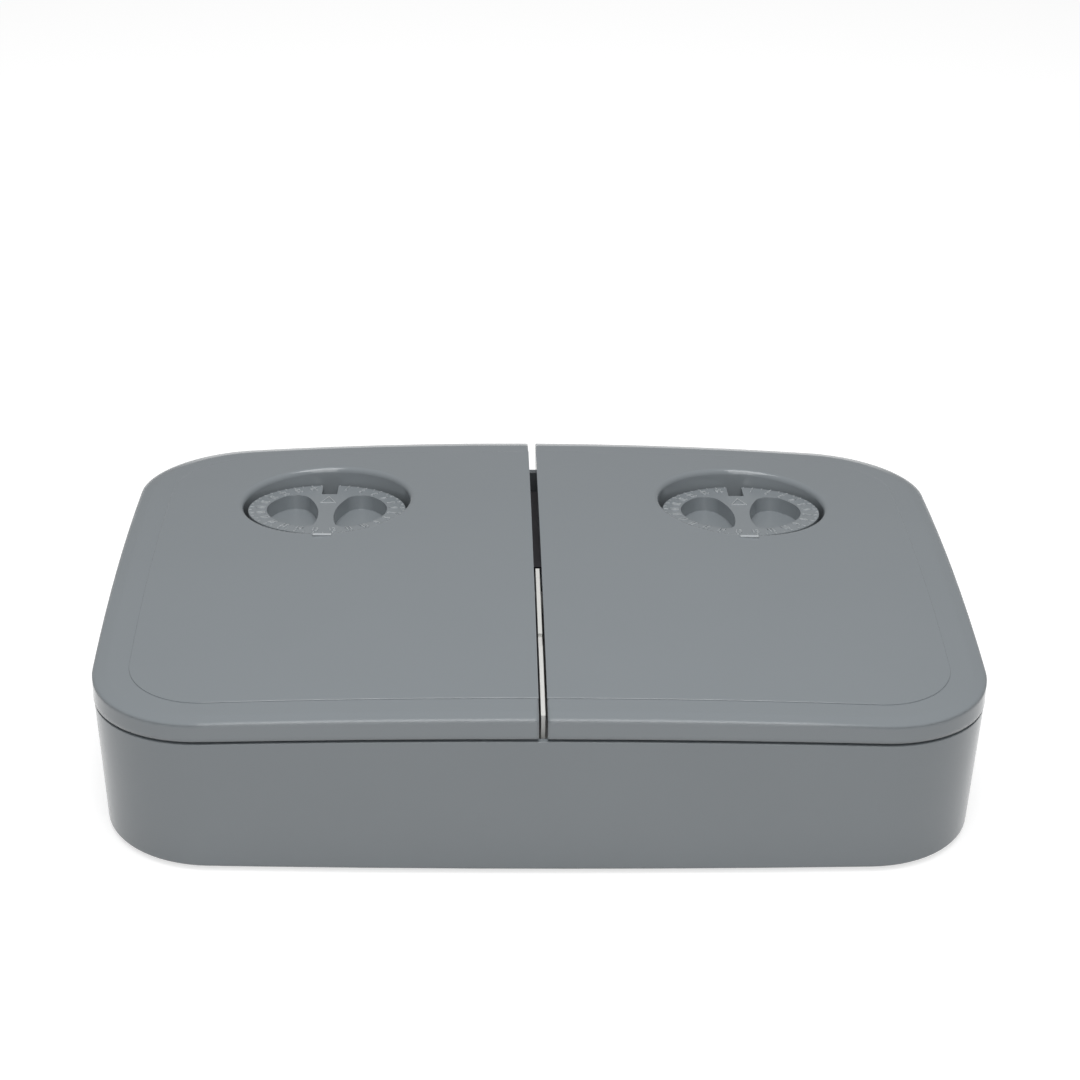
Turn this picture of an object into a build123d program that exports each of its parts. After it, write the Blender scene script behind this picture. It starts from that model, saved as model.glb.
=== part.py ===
# Two-meal pet feeder: a drafted tub with two bowls, two domed lids and a timer dial for each lid.
# Millimetres. The origin is under the middle of the feeder at the height of its feet,
# +X to the right, +Y to the hinge side and +Z up. The left half is drawn and the right half is its mirror.
import os
from math import cos, pi, radians, sin, tan

from build123d import *

os.makedirs("parts", exist_ok=True)

# Outline of the feeder, seen from above
width = 320.0
depth = 242.0
corner_radius = 43.0
side_bow = 2.0
end_bow = 3.0

# Heights of the rim and of the lids, and how they fall towards the sides
foot_drop = 1.5
rim_front = 55.6
rim_rear = 48.6
rim_crown = 4.5
lid_front = 64.8
lid_middle = 65.6
lid_rear = 58.3
lid_crown = 6.0

# Base shell
base_draft = 2.9
base_wall = 2.6
base_floor = 2.5
rim_allowance = 3.0
base_edge_radius = 1.5
rear_cut_height = 45.6
rear_cut_length = 256.0
rear_cut_depth = 8.0

# Lids
lid_gap = 3.0
lid_seat_gap = 0.4
lid_wall = 2.4
lid_edge_radius = 2.8
lid_gap_radius = 0.8
skirt_taper_height = 5.0
skirt_taper_depth = 0.8
border_width = 13.0
panel_rise = 0.4
panel_edge_radius = 0.3
index_length = 7.0
index_width = 1.2
index_height = 0.5
index_setback = 3.0

# Dials: each stands on an axis that leans back
dial_spread = 83.0
dial_setback = 57.0
dial_height = 57.5
dial_tilt = 8.0
dial_radius = 31.4
dial_rim_thickness = 2.5
dial_drum_radius = 26.4
dial_drum_depth = 7.5
dial_wall = 1.5
pit_depth = 6.0
pit_radius = 24.0
pit_side_radius = 57.0
pit_bar_half = 3.1
pit_offset = 8.0
pit_rear_radius = 6.0
pit_front_radius = 4.0
notch_width = 6.2
notch_depth = 11.8
dial_hole_gap = 1.8
hole_edge_radius = 2.0
collar_wall = 2.2
collar_gap = 0.5
catch_width = 5.2
catch_reach = 0.9
catch_height = 2.4

# Timer deck
deck_drop = 7.0
deck_thickness = 2.2
deck_front = 7.0
deck_rear = 102.0
deck_side_gap = 0.6
deck_lid_gap = 0.6
deck_flange = 5.0
deck_flange_setback = 1.2
deck_flange_wall = 2.0
deck_hole_gap = 0.8
seat_sink = 0.3
partition_thickness = 2.0
partition_setback = 1.0

# Hinges
hinge_setback = 3.4
hinge_height = 49.8
hinge_pin_radius = 1.25
hinge_lug_radius = 2.6
hinge_fit = 0.05
hinge_pin_grip = 0.02
hinge_places = (26.0, 80.0)
ear_width = 5.0
ear_gap = 0.4
bracket_width = 2.4
bracket_drop = 11.0
window_gap = 0.5
spring_room = 6.0
spring_radius = 2.1
spring_wire = 0.7
spring_leg = 9.0
leg_rise = 2.6

# Food tray
tray_top = 47.0
tray_thickness = 1.8
tray_gap = 0.5
tray_rear_gap = 0.5
bowl_depth = 34.0
bowl_taper = 9.0
bowl_lip = 6.0
bowl_bar = 8.0
bowl_corner = 24.0
bowl_floor_radius = 9.0
rib_width = 1.5
rib_drop = 1.7
rib_end_gap = 1.4
rib_rear_setback = 13.8
rib_notch_width = 9.0
rib_notch_depth = 1.5
rib_notch_setback = 64.0
ledge_width = 2.6
ledge_height = 3.0

# Gear trains: module and teeth of each mesh
first_module = 0.7
second_module = 0.5
third_module = 0.4
dial_wheel_teeth = 60
third_wheel_teeth = 48
second_wheel_teeth = 40
pinion_teeth = 8
tooth_backlash = 0.10
third_angle = 0.0
second_angle = 230.0
rotor_angle = 233.0
wheel_thickness = 1.5
dial_wheel_thickness = 2.0
wheel_gap = 1.0
bridge_gap = 0.4
bridge_thickness = 1.2
bridge_margin = 2.6
bridge_post_radius = 2.2
pinion_extra = 0.4
arbor_radius = 0.8
arbor_fit = 0.08
spindle_radius = 2.95
spindle_fit = 0.08
pivot_radius = 1.5
hub_fit = 0.03

# Timer cases
case_gap = 0.3
cover_thickness = 1.6
case_depth = 15.6
case_floor = 1.7
case_wall = 1.6
case_inner_left = 24.5
case_inner_right = 38.5
case_inner_front = 33.0
case_inner_rear = 24.0
case_corner = 6.0
screw_boss_radius = 2.8

# Motor
magnet_radius = 3.5
magnet_thickness = 3.2
stator_thickness = 0.9
stator_half_length = 13.0
stator_half_width = 5.6
stator_gap = 0.6
coil_radius = 3.4
coil_core_radius = 1.1
coil_length = 17.0
coil_flange = 1.0

# Circuit board
board_length = 148.0
board_width = 16.0
board_thickness = 1.6
board_gap = 1.5
chip_length = 9.0
chip_width = 6.0
chip_height = 1.4
crystal_radius = 1.5
crystal_length = 7.0
coil_pin_radius = 0.4
coil_pin_spread = 12.0

# Battery
cell_radius = 7.2
cell_length = 49.0
button_radius = 2.6
button_length = 1.3
cell_gap = 0.3
cell_setback = 30.0
bay_wall = 1.8
bay_roof = 1.8
bay_pad = 1.2
contact_thickness = 0.4
contact_width = 9.0
tail_width = 3.0
spring_contact_room = 2.6
door_length = 64.0
door_width = 22.0
door_thickness = 2.0
door_fit = 0.3
door_ledge = 3.0

# Screws and feet
screw_radius = 1.4
screw_head_radius = 2.7
screw_head_height = 1.5
screw_length = 9.0
screw_grip = 0.05
timer_screw_bite = 1.7
boss_radius = 3.6
foot_radius = 7.0
foot_recess = 1.0
foot_inset_x = 28.0
foot_inset_y = 26.0

half_width = width / 2
half_depth = depth / 2
floor_top = foot_drop + base_floor
high = lid_middle + 12.0
deep = -10.0


# A plane that stands on a dial's axis; its Z axis is that axis and its origin is at the dial's face.
def dial_plane(drop):
    tilt = radians(dial_tilt)
    lean = Vector(0, sin(tilt), cos(tilt))
    place = Vector(-dial_spread, dial_setback, dial_height) - lean * drop
    return Plane(origin=place, x_dir=(1, 0, 0), z_dir=lean)


# Height of the deck's upper face, carried on below the dial by the given drop.
def tilted_height(y, drop):
    tilt = radians(dial_tilt)
    return dial_height - drop / cos(tilt) - (y - dial_setback) * tan(tilt)


# Outline of a wheel with straight-sided teeth, four points to a tooth.
def wheel_outline(teeth, module, is_pinion, turn=0.0):
    pitch = teeth * module / 2
    tip = pitch + 0.8 * module
    root = pitch - 1.15 * module
    half = pi * module / 4 * (1 - tooth_backlash)
    half_tip = half * 0.55 if is_pinion else half - 0.8 * module * tan(radians(22))
    half_root = half * root / pitch if is_pinion else half + 0.92 * module * tan(radians(18))
    points = []
    for tooth in range(teeth):
        middle = radians(turn) + 2 * pi * tooth / teeth
        for reach, side in ((root, -half_root), (tip, -half_tip), (tip, half_tip), (root, half_root)):
            angle = middle + side / reach
            points.append((reach * cos(angle), reach * sin(angle)))
    return points


# The circles whose arcs are the bowed ends and sides of the outline.
end_circle = ((half_width - side_bow) ** 2 + end_bow**2) / (2 * end_bow)
side_circle = ((half_depth - end_bow) ** 2 + side_bow**2) / (2 * side_bow)


# The outline of lids and rim, moved inwards all round: the area that four large circles share.
def outline_inside(inset):
    with BuildSketch() as outline:
        with Locations((0, end_circle - half_depth)):
            Circle(end_circle - inset)
        with Locations((0, half_depth - end_circle)):
            Circle(end_circle - inset, mode=Mode.INTERSECT)
        with Locations((side_circle - half_width, 0)):
            Circle(side_circle - inset, mode=Mode.INTERSECT)
        with Locations(Location((half_width - side_circle, 0), 180)):
            Circle(side_circle - inset, mode=Mode.INTERSECT)
        corners = [v for v in outline.vertices() if abs(v.Y) > half_depth / 2]
        fillet(corners, radius=corner_radius - inset)
    return outline.sketch


# Radius of a circle that falls by the given crown at the feeder's sides.
def crown_circle(crown):
    return (half_width**2 + crown**2) / (2 * crown)


dome_radius = crown_circle(lid_crown)
rim_radius = crown_circle(rim_crown)
rim_middle = (rim_front + rim_rear) / 2


# Everything under the lids' upper surface, moved up by the given rise.
def under_dome(rise):
    reach = half_depth + 10.0
    with BuildSketch(Plane.YZ) as profile:
        with BuildLine():
            arc = ThreePointArc(
                (-half_depth, lid_front + rise), (0, lid_middle + rise), (half_depth, lid_rear + rise)
            )
            Polyline(
                arc @ 1,
                (reach, lid_rear + rise),
                (reach, deep),
                (-reach, deep),
                (-reach, lid_front + rise),
                arc @ 0,
            )
        make_face()
    crown_axis = Axis((0, 0, lid_middle - dome_radius), (0, 1, 0))
    with BuildPart() as space:
        revolve(profile.sketch, axis=crown_axis, revolution_arc=8)
        revolve(profile.sketch, axis=crown_axis, revolution_arc=-8)
    return space.part


# Everything over the sloping, crowned face of the rim, moved up by the given rise.
def over_rim(rise):
    reach = half_depth + 10.0
    slope = (rim_rear - rim_front) / depth
    with BuildSketch(Plane.YZ) as profile:
        with BuildLine():
            Polyline(
                (-reach, rim_middle - slope * reach + rise),
                (reach, rim_middle + slope * reach + rise),
                (reach, high),
                (-reach, high),
                close=True,
            )
        make_face()
    crown_axis = Axis((0, 0, rim_middle - rim_radius), (0, 1, 0))
    with BuildPart() as space:
        revolve(profile.sketch, axis=crown_axis, revolution_arc=4)
        revolve(profile.sketch, axis=crown_axis, revolution_arc=-4)
    return space.part


above_rim = over_rim(0)


# Height of the lids' upper face over the middle of the feeder.
def dome_height(y):
    fall = (lid_front - lid_rear) / 2
    rise = lid_middle - (lid_front + lid_rear) / 2
    return lid_middle - fall * y / half_depth - rise * (y / half_depth) ** 2


# Food tray: a flat flange with two tapered bowls and a thin rib that stands in the gap between the lids.
tray_rear = deck_front - tray_rear_gap
tray_inset = base_wall + (rim_front - tray_top + tray_thickness) * tan(radians(base_draft)) + tray_gap
with BuildSketch() as tray_plan:
    add(outline_inside(tray_inset))
    with Locations((0, tray_rear - half_depth)):
        Rectangle(width, depth, mode=Mode.INTERSECT)
bowl_left = -half_width + tray_inset + bowl_lip
bowl_right = -bowl_bar / 2
bowl_front = -half_depth + tray_inset + bowl_lip
bowl_rear = tray_rear - bowl_lip
with BuildSketch() as bowl_plan:
    with Locations(((bowl_left + bowl_right) / 2, (bowl_front + bowl_rear) / 2)):
        Rectangle(bowl_right - bowl_left, bowl_rear - bowl_front)
    outer_corner = bowl_plan.vertices().sort_by(Axis.X)[:2].sort_by(Axis.Y)[0]
    fillet(outer_corner, radius=corner_radius - tray_inset - bowl_lip)
    sharp_corners = [v for v in bowl_plan.vertices() if v.X > bowl_right - 1 or v.Y > bowl_rear - 1]
    fillet(sharp_corners, radius=bowl_corner)
with BuildPart() as bowl_space:
    with BuildSketch(Plane.XY.offset(tray_top)):
        add(bowl_plan.sketch)
    extrude(amount=-bowl_depth, taper=bowl_taper)
    fillet(bowl_space.faces().sort_by(Axis.Z)[0].edges(), radius=bowl_floor_radius)
with BuildPart() as bowl_outside:
    with BuildSketch(Plane.XY.offset(tray_top)):
        add(bowl_plan.sketch)
        offset(amount=tray_thickness)
    extrude(amount=-bowl_depth - tray_thickness, taper=bowl_taper)
    fillet(bowl_outside.faces().sort_by(Axis.Z)[0].edges(), radius=bowl_floor_radius + tray_thickness)
with BuildPart() as food_tray:
    with BuildSketch(Plane.XY.offset(tray_top - tray_thickness)):
        add(tray_plan.sketch)
    extrude(amount=tray_thickness)
    add(bowl_outside.part)
    mirror(bowl_outside.part, about=Plane.YZ)
    add(bowl_space.part, mode=Mode.SUBTRACT)
    mirror(bowl_space.part, about=Plane.YZ, mode=Mode.SUBTRACT)
    # The rib between the bowls, which follows the lids a little below their upper faces
    with BuildPart(mode=Mode.PRIVATE) as rib:
        rib_front = -half_depth + tray_inset + rib_end_gap
        rib_rear = tray_rear - rib_rear_setback
        with Locations((0, rib_front, tray_top - tray_thickness)):
            Box(rib_width, rib_rear - rib_front, high, align=(Align.CENTER, Align.MIN, Align.MIN))
        add(under_dome(-rib_drop), mode=Mode.INTERSECT)
        with BuildSketch(Plane.YZ.offset(-rib_width / 2)):
            with Locations((-rib_notch_setback, dome_height(-rib_notch_setback) - rib_drop)):
                Rectangle(rib_notch_width, 2 * rib_notch_depth)
        extrude(amount=rib_width, mode=Mode.SUBTRACT)
    add(rib.part)
food_tray.part.label = "food_tray"
export_step(food_tray.part, "parts/food_tray.step")

# Screw places of the deck, from the middle of the feeder.
screw_places = [
    (-half_width + 20.0, deck_front + 13.0),
    (-half_width + 24.0, deck_rear - 10.0),
    (-20.0, deck_rear - 10.0),
]
screw_places = screw_places + [(-x, y) for x, y in screw_places]

# Places of a timer's screw ears in its dial's plane, just outside the case.
ear_reach = case_wall + screw_head_radius + 0.4
ear_places = [
    (-case_inner_left - ear_reach, 8.0),
    (case_inner_right + ear_reach, 8.0),
    (case_inner_right - 16.0, case_inner_rear + ear_reach),
]


# Height of the flat seat of a deck screw, sunk so that the leaning deck holds the whole head.
def screw_seat(y):
    return tilted_height(y, deck_drop) - (screw_head_radius + case_gap) * tan(radians(dial_tilt)) - seat_sink


# The space over the deck's lower face, which leans like the dials.
with BuildPart() as over_deck_underside:
    with BuildSketch(Plane.YZ.offset(-width)):
        with BuildLine():
            Polyline(
                (-half_depth, tilted_height(-half_depth, deck_drop + deck_thickness)),
                (2 * depth, tilted_height(2 * depth, deck_drop + deck_thickness)),
                (2 * depth, 2 * high),
                (-half_depth, 2 * high),
                close=True,
            )
        make_face()
    extrude(amount=2 * width)

# Timer deck: the dark sloping plate that closes the timer bay, with a round opening for each dial.
with BuildPart() as timer_deck:
    with BuildSketch(Plane.XY.offset(floor_top)):
        add(outline_inside(base_wall + deck_side_gap))
        with Locations((0, (deck_front + deck_rear) / 2)):
            Rectangle(width, deck_rear - deck_front, mode=Mode.INTERSECT)
    extrude(amount=high)
    add(over_deck_underside.part, mode=Mode.INTERSECT)
    # Flanges stiffen the plate along the side walls
    with BuildPart(mode=Mode.PRIVATE) as side_flanges:
        with BuildSketch(Plane.XY.offset(floor_top)):
            add(outline_inside(base_wall + deck_side_gap + deck_flange_setback))
            with Locations((0, (deck_front + deck_rear) / 2)):
                Rectangle(width, deck_rear - deck_front - 12.0, mode=Mode.INTERSECT)
            flange_inset = base_wall + deck_side_gap + deck_flange_setback + deck_flange_wall
            add(outline_inside(flange_inset), mode=Mode.SUBTRACT)
        extrude(amount=high)
        with BuildSketch(Plane.YZ.offset(-width)):
            with BuildLine():
                Polyline(
                    (-half_depth, tilted_height(-half_depth, deck_drop + deck_thickness + deck_flange)),
                    (2 * depth, tilted_height(2 * depth, deck_drop + deck_thickness + deck_flange)),
                    (2 * depth, -2 * high),
                    (-half_depth, -2 * high),
                    close=True,
                )
            make_face()
        extrude(amount=2 * width, mode=Mode.SUBTRACT)
    add(side_flanges.part)
    with BuildSketch(Plane.YZ.offset(-width)):
        with BuildLine():
            Polyline(
                (-half_depth, tilted_height(-half_depth, deck_drop)),
                (2 * depth, tilted_height(2 * depth, deck_drop)),
                (2 * depth, 3 * high),
                (-half_depth, 3 * high),
                close=True,
            )
        make_face()
    extrude(amount=2 * width, mode=Mode.SUBTRACT)
    add(under_dome(-lid_wall - deck_lid_gap), mode=Mode.INTERSECT)
    with BuildSketch(dial_plane(deck_drop - 5.0)):
        with Locations((0, 0), (2 * dial_spread, 0)):
            Circle(dial_drum_radius + deck_hole_gap)
    extrude(amount=-deck_thickness - 10.0, mode=Mode.SUBTRACT)
    with BuildSketch(Plane.XY.offset(floor_top)):
        with Locations(screw_places):
            Circle(screw_radius + screw_grip)
    extrude(amount=high, mode=Mode.SUBTRACT)
    for x, y in screw_places:
        with BuildSketch(Plane.XY.offset(screw_seat(y))):
            with Locations((x, y)):
                Circle(screw_head_radius + case_gap)
        extrude(amount=10.0, mode=Mode.SUBTRACT)
    # Blind holes for the timer screws
    with BuildPart(mode=Mode.PRIVATE) as blind_holes:
        with BuildSketch(dial_plane(deck_drop + deck_thickness + 1.0)):
            with Locations(ear_places):
                Circle(screw_radius + screw_grip)
        extrude(amount=timer_screw_bite + 1.1)
        mirror(about=Plane.YZ)
    add(blind_holes.part, mode=Mode.SUBTRACT)
timer_deck.part.label = "timer_deck"
export_step(timer_deck.part, "parts/timer_deck.step")

# Hinges: each lid has two ears between pairs of brackets; the inner pair also holds the lid's spring.
# The faces of the brackets are listed from left to right, for the left lid and then for the right one.
hinge_y = half_depth - hinge_setback
ear_room = ear_width / 2 + ear_gap
left_faces = [
    (-hinge_places[1] - ear_room, -hinge_places[1] + ear_room),
    (-hinge_places[0] - ear_room, -hinge_places[0] + ear_room + spring_room),
]
bracket_faces = left_faces + [(-right, -left) for left, right in left_faces]

# Battery bay: the cell lies along X under the front of the timer bay, over a door in the floor.
cell_axis = foot_drop + door_thickness + cell_gap + cell_radius
bay_length = cell_length + button_length + 2 * contact_thickness + spring_contact_room
bay_half_width = cell_radius + cell_gap
bay_top = cell_axis + cell_radius + cell_gap

# Base shell: a drafted tub with a partition, a tray ledge, screw bosses, the battery bay and hinge brackets.
base_inset = tan(radians(base_draft)) * (rim_front - foot_drop)
base_height = rim_front + rim_allowance
with BuildPart() as base_inside:
    with BuildSketch(Plane.XY.offset(floor_top)):
        add(outline_inside(base_inset + base_wall - tan(radians(base_draft)) * base_floor))
    extrude(amount=base_height - floor_top, taper=-base_draft)
with BuildPart() as drafted:
    with BuildSketch(Plane.XY.offset(foot_drop)):
        add(outline_inside(base_inset))
    extrude(amount=base_height - foot_drop, taper=-base_draft)
    fillet(drafted.faces().sort_by(Axis.Z)[0].edges(), radius=base_edge_radius)
with BuildPart() as deck_space:
    with BuildSketch(Plane.XY.offset(floor_top)):
        add(outline_inside(base_wall))
        with Locations((0, (deck_front + deck_rear) / 2)):
            Rectangle(width, deck_rear - deck_front + 1.0, mode=Mode.INTERSECT)
    extrude(amount=high)
    add(over_deck_underside.part, mode=Mode.INTERSECT)
# The rear wall is lower between the corners, so that the lids' rear edges can swing down past it.
# The brackets keep their height there.
with BuildPart() as rim_space:
    add(above_rim)
    with Locations((0, half_depth, rear_cut_height)):
        Box(rear_cut_length, 2 * rear_cut_depth, high, align=(Align.CENTER, Align.CENTER, Align.MIN))
    for low, high_side in bracket_faces:
        for start in (low - bracket_width, high_side):
            with BuildSketch(Plane.YZ.offset(start)):
                with Locations((hinge_y, hinge_height)):
                    Circle(hinge_lug_radius)
                    Rectangle(2 * hinge_lug_radius, high, align=(Align.CENTER, Align.MAX))
            extrude(amount=bracket_width, mode=Mode.SUBTRACT)
with BuildPart() as base_shell:
    with BuildSketch(Plane.XY.offset(foot_drop)):
        add(outline_inside(base_inset))
    extrude(amount=base_height - foot_drop, taper=-base_draft)
    fillet(base_shell.faces().sort_by(Axis.Z)[0].edges(), radius=base_edge_radius)
    add(base_inside.part, mode=Mode.SUBTRACT)
    # Partition behind the tray, and the ledges at the tray's front and sides
    with BuildSketch(Plane.XY.offset(floor_top)):
        with Locations((0, deck_front + partition_setback + partition_thickness / 2)):
            Rectangle(width, partition_thickness)
    extrude(amount=base_height - floor_top)
    with BuildSketch(Plane.XY.offset(tray_top - tray_thickness)):
        add(outline_inside(0))
        add(outline_inside(base_wall + ledge_width), mode=Mode.SUBTRACT)
        with Locations((0, tray_rear - depth)):
            Rectangle(width, 2 * depth, mode=Mode.INTERSECT)
    extrude(amount=-ledge_height)
    # Screw bosses and the battery bay
    with BuildSketch(Plane.XY.offset(floor_top)):
        with Locations(screw_places):
            Circle(boss_radius)
    extrude(amount=base_height - floor_top)
    with BuildSketch(Plane.XY.offset(floor_top)):
        with Locations((0, cell_setback)):
            Rectangle(bay_length + 2 * bay_wall, 2 * bay_half_width + 2 * bay_wall)
    extrude(amount=bay_top + bay_roof - floor_top)
    with BuildSketch(Plane.XY.offset(floor_top)):
        with Locations((0, cell_setback)):
            Rectangle(door_length + 2 * door_ledge, door_width + 2 * door_ledge)
    extrude(amount=bay_pad)
    # Hinge brackets on the rear wall
    for low, high_side in bracket_faces:
        for start in (low - bracket_width, high_side):
            with BuildSketch(Plane.YZ.offset(start)):
                with Locations((hinge_y, hinge_height)):
                    Circle(hinge_lug_radius)
                with Locations((hinge_y, hinge_height)):
                    Rectangle(2 * hinge_lug_radius, bracket_drop, align=(Align.CENTER, Align.MAX))
            extrude(amount=bracket_width)
    # Nothing outside lies beyond the drafted walls, and nothing inside rises through the deck
    add(drafted.part, mode=Mode.INTERSECT)
    add(deck_space.part, mode=Mode.SUBTRACT)
    add(rim_space.part, mode=Mode.SUBTRACT)
    # Pin bores, screw holes, battery opening, door recess, contact slots and foot recesses
    for low, high_side in bracket_faces:
        with BuildSketch(Plane.YZ.offset(low - bracket_width - 1.0)):
            with Locations((hinge_y, hinge_height)):
                Circle(hinge_pin_radius + hinge_pin_grip)
        extrude(amount=high_side - low + 2 * bracket_width + 2.0, mode=Mode.SUBTRACT)
    with BuildSketch(Plane.XY.offset(floor_top + 2.0)):
        with Locations(screw_places):
            Circle(screw_radius + screw_grip)
    extrude(amount=high, mode=Mode.SUBTRACT)
    with BuildSketch(Plane.XY.offset(deep)):
        with Locations((0, cell_setback)):
            Rectangle(bay_length, 2 * bay_half_width)
    extrude(amount=bay_top - deep, mode=Mode.SUBTRACT)
    with BuildSketch(Plane.XY.offset(bay_top - 1.0)):
        slot_reach = bay_length / 2 - contact_thickness / 2 - 0.1
        with Locations((-slot_reach, cell_setback), (slot_reach, cell_setback)):
            Rectangle(contact_thickness + 0.2, tail_width + 0.4)
    extrude(amount=bay_roof + 2.0, mode=Mode.SUBTRACT)
    with BuildSketch(Plane.XY.offset(deep)):
        with Locations((0, cell_setback)):
            Rectangle(door_length + 2 * door_fit, door_width + 2 * door_fit)
    extrude(amount=foot_drop + door_thickness - deep, mode=Mode.SUBTRACT)
    foot_places = GridLocations(width - 2 * foot_inset_x, depth - 2 * foot_inset_y, 2, 2)
    with BuildSketch(Plane.XY.offset(foot_drop)):
        with foot_places:
            Circle(foot_radius + 0.1)
    extrude(amount=foot_recess, mode=Mode.SUBTRACT)
base_shell.part.label = "base_shell"
export_step(base_shell.part, "parts/base_shell.step")

# Lids: the left lid is drawn, and the right one is its mirror.
# The part of the outline left of the gap, drawn in by the given amounts.
def left_half(inset, gap_inset):
    with BuildSketch() as half:
        add(outline_inside(inset))
        with Locations((-lid_gap / 2 - gap_inset - half_width, 0)):
            Rectangle(width, 2 * depth, mode=Mode.INTERSECT)
    return half.sketch


lid_base = rim_rear - rim_crown - 10.0
hole_radius = dial_radius + dial_hole_gap
above_seat = over_rim(lid_seat_gap)

# The raised middle of the lid's upper face
with BuildPart() as lid_panel:
    with BuildSketch(Plane.XY.offset(lid_base)):
        add(left_half(border_width, 0))
    extrude(amount=high - lid_base)
    add(under_dome(panel_rise), mode=Mode.INTERSECT)
    add(above_seat, mode=Mode.INTERSECT)
    panel_top = lid_panel.faces().sort_by(Axis.Z)[-1]
    panel_edges = [edge for edge in panel_top.edges() if edge.center().X < -lid_gap / 2 - 0.1]
    fillet(panel_edges, radius=panel_edge_radius)

# The hollow under the lid
with BuildPart() as lid_space:
    with BuildSketch(Plane.XY.offset(lid_base)):
        add(left_half(lid_wall, lid_wall))
    extrude(amount=high - lid_base)
    add(under_dome(-lid_wall), mode=Mode.INTERSECT)

# The collar round the dial hole, with the catch that the dial's rim holds down until the notch comes round
with BuildPart() as lid_collar:
    with BuildSketch(dial_plane(deck_drop - collar_gap)):
        Circle(hole_radius + collar_wall)
    extrude(amount=high - lid_base)
    add(under_dome(-lid_wall / 2), mode=Mode.INTERSECT)

# The ears on the lid's hinge line
with BuildPart() as lid_ears:
    for place in hinge_places:
        with BuildSketch(Plane.YZ.offset(-place - ear_width / 2)):
            with Locations((hinge_y, hinge_height)):
                Circle(hinge_lug_radius)
                Rectangle(2 * hinge_lug_radius, high - hinge_height, align=(Align.CENTER, Align.MIN))
        extrude(amount=ear_width)
    add(under_dome(-lid_wall / 2), mode=Mode.INTERSECT)

with BuildPart() as lid_left:
    with BuildSketch(Plane.XY.offset(lid_base)):
        add(left_half(0, 0))
    extrude(amount=high - lid_base)
    add(under_dome(0), mode=Mode.INTERSECT)
    add(above_seat, mode=Mode.INTERSECT)
    seat_face = lid_left.faces().sort_by(Axis.Z)[0]
    seat_edges = [edge for edge in seat_face.edges() if edge.center().X < -lid_gap / 2 - 0.1]
    chamfer(seat_edges, length=skirt_taper_depth, length2=skirt_taper_height, reference=seat_face)
    top_face = lid_left.faces().sort_by(Axis.Z)[-1]
    top_edges = [edge for edge in top_face.edges() if edge.center().X < -lid_gap / 2 - 0.1]
    fillet(top_edges, radius=lid_edge_radius)
    top_face = lid_left.faces().sort_by(Axis.Z)[-1]
    gap_edges = [edge for edge in top_face.edges() if edge.center().X > -lid_gap / 2 - 0.1]
    fillet(gap_edges, radius=lid_gap_radius)
    add(lid_panel.part)
    add(lid_space.part, mode=Mode.SUBTRACT)
    # Windows in the rear wall for the brackets
    for low, high_side in left_faces:
        with Locations((low - bracket_width - window_gap, half_depth - lid_wall - 2.0, lid_base)):
            Box(
                high_side - low + 2 * bracket_width + 2 * window_gap,
                lid_wall + 8.0,
                hinge_height + hinge_lug_radius + ear_gap - lid_base,
                align=(Align.MIN, Align.MIN, Align.MIN),
                mode=Mode.SUBTRACT,
            )
    # The wall at the gap ends over the timer deck
    with BuildSketch(Plane.YZ.offset(-lid_gap / 2 - lid_wall - 1.0)):
        clear_front = deck_front - 1.5
        clear_rear = deck_rear + 1.5
        with BuildLine():
            Polyline(
                (clear_front, lid_base),
                (clear_rear, lid_base),
                (clear_rear, tilted_height(clear_rear, deck_drop - collar_gap)),
                (clear_front, tilted_height(clear_front, deck_drop - collar_gap)),
                close=True,
            )
        make_face()
    extrude(amount=lid_wall + 2.0, mode=Mode.SUBTRACT)
    add(lid_ears.part)
    add(lid_collar.part)
    with BuildSketch(dial_plane(-high)):
        Circle(hole_radius)
    extrude(amount=-2 * high, mode=Mode.SUBTRACT)
    hole_edges = lid_left.edges().filter_by_position(Axis.Y, deck_front, deck_rear)
    hole_edges = [edge for edge in hole_edges if abs(edge.length - 2 * pi * hole_radius) < 2.0]
    fillet(sorted(hole_edges, key=lambda edge: edge.center().Z)[-1], radius=hole_edge_radius)
    with BuildSketch(dial_plane(deck_drop - collar_gap)):
        with Locations((0, -hole_radius + catch_reach)):
            Rectangle(catch_width, catch_reach + collar_wall / 2, align=(Align.CENTER, Align.MAX))
    extrude(amount=catch_height)
    for place in hinge_places:
        with BuildSketch(Plane.YZ.offset(-place - ear_width)):
            with Locations((hinge_y, hinge_height)):
                Circle(hinge_pin_radius + hinge_fit)
        extrude(amount=2 * ear_width, mode=Mode.SUBTRACT)
    # Index bar in front of the hole
    with BuildPart(mode=Mode.PRIVATE) as index_bar:
        with BuildSketch(Plane.XY.offset(lid_front - lid_wall)):
            with Locations((-dial_spread, dial_setback - hole_radius - index_setback)):
                Rectangle(index_length, index_width)
        extrude(amount=high)
        add(under_dome(panel_rise + index_height), mode=Mode.INTERSECT)
    add(index_bar.part)
lid_left.part.label = "lid_left"
export_step(lid_left.part, "parts/lid_left.step")
with BuildPart() as lid_right:
    mirror(lid_left.part, about=Plane.YZ)
lid_right.part.label = "lid_right"
export_step(lid_right.part, "parts/lid_right.step")

# Dials: a rim with a notch, a drum with two finger pits and a spindle underneath.
with BuildSketch() as finger_pit:
    Circle(pit_radius)
    with Locations((-pit_bar_half - pit_side_radius, -pit_offset)):
        Circle(pit_side_radius, mode=Mode.INTERSECT)
    fillet(finger_pit.vertices().sort_by(Axis.Y)[-1], radius=pit_rear_radius)
    fillet(finger_pit.vertices().sort_by(Axis.Y)[0], radius=pit_front_radius)

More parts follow.
